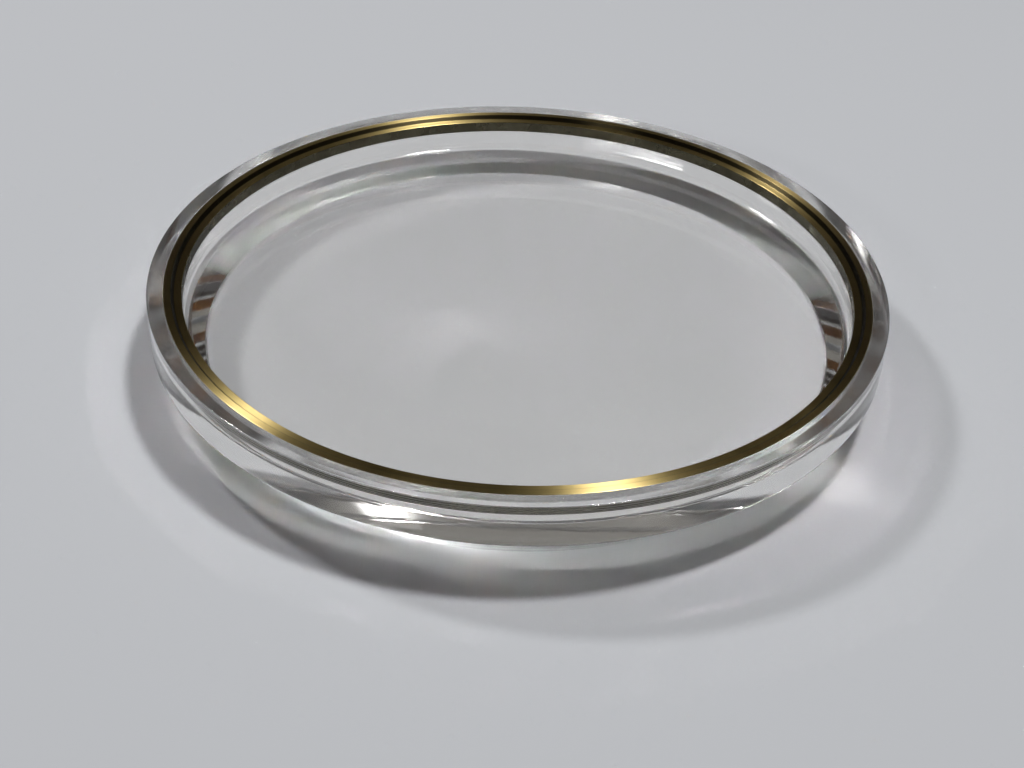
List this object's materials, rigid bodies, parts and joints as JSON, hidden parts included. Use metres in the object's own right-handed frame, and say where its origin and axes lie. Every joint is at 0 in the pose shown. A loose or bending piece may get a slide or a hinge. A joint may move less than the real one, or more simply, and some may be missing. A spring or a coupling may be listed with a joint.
{
  "type": "watch crystal",
  "caption": "Round clear acrylic watch crystal with a flat front, a bevelled edge and a stepped metal tension ring pressed into the mouth of its skirt.",
  "frame": {"origin": "centre of the flat front of the window, the lowest point of the part as it lies", "axes": "+Z is the axis of the crystal, from the front towards the open mouth; X and Y are free, because the part is round"},
  "size_m": [0.032, 0.032, 0.0041],
  "materials": {
    "acrylic": "clear polished acrylic",
    "ring_metal": "fine turned brass, gold tone"
  },
  "bodies": {
    "root": {"crystal": "acrylic", "tension_ring": "ring_metal"}
  },
  "joints": []
}
